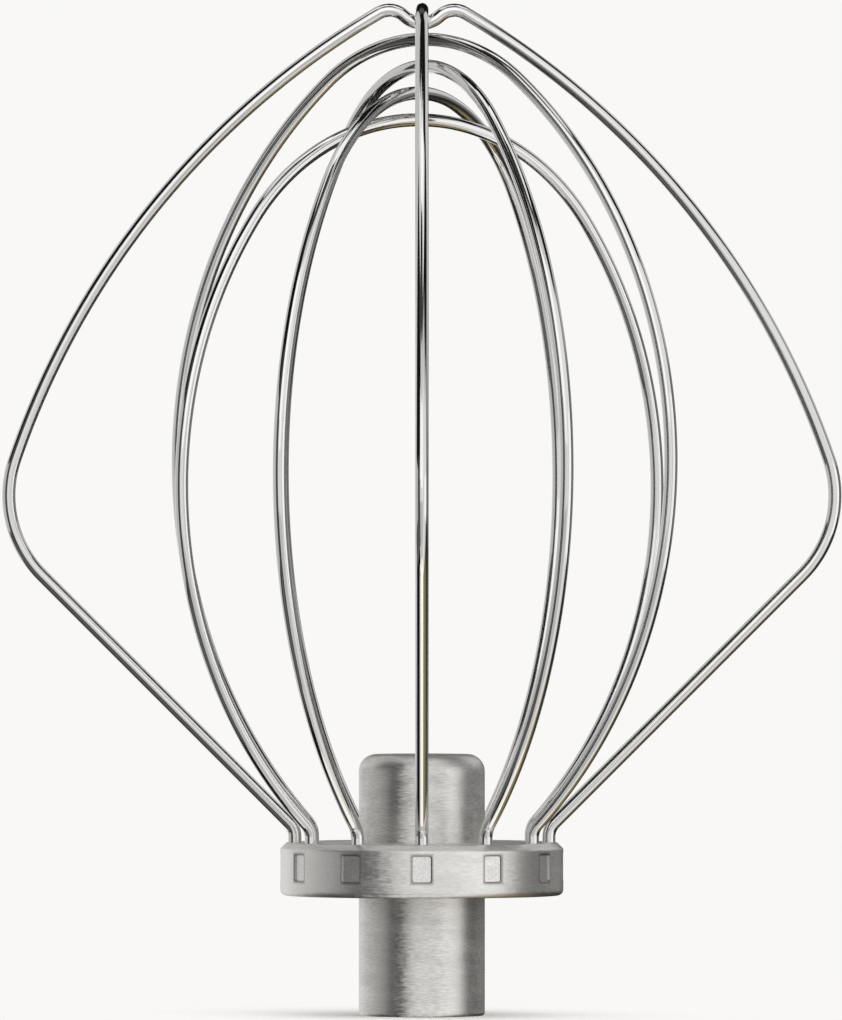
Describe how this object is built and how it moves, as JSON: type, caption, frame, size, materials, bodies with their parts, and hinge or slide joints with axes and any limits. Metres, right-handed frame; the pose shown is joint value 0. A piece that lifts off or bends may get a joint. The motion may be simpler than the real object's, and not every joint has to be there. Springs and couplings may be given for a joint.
{
  "type": "stand mixer wire whisk",
  "caption": "Wire whisk for a tilt-head stand mixer: nested steel wire loops staked in a collar on a socketed sleeve, for whipping air into cream or egg white.",
  "frame": {"origin": "centre of the sleeve's open mouth, on the surface that the whisk stands on", "axes": "+Z along the hub's axis up through the wire cage, +X to the right and -Y to the front of the picture"},
  "size_m": [0.1266, 0.1266, 0.1527],
  "materials": {
    "brushed_hub": "satin, brushed round the axis",
    "polished_wire": "bright drawn wire, polished"
  },
  "bodies": {
    "root": {"hub_sleeve": "brushed_hub", "wire_collar": "brushed_hub", "outer_wire_plain": "polished_wire", "outer_wire_notched": "polished_wire", "inner_wire_1": "polished_wire", "inner_wire_2": "polished_wire", "inner_wire_3": "polished_wire", "inner_wire_4": "polished_wire"}
  },
  "joints": []
}
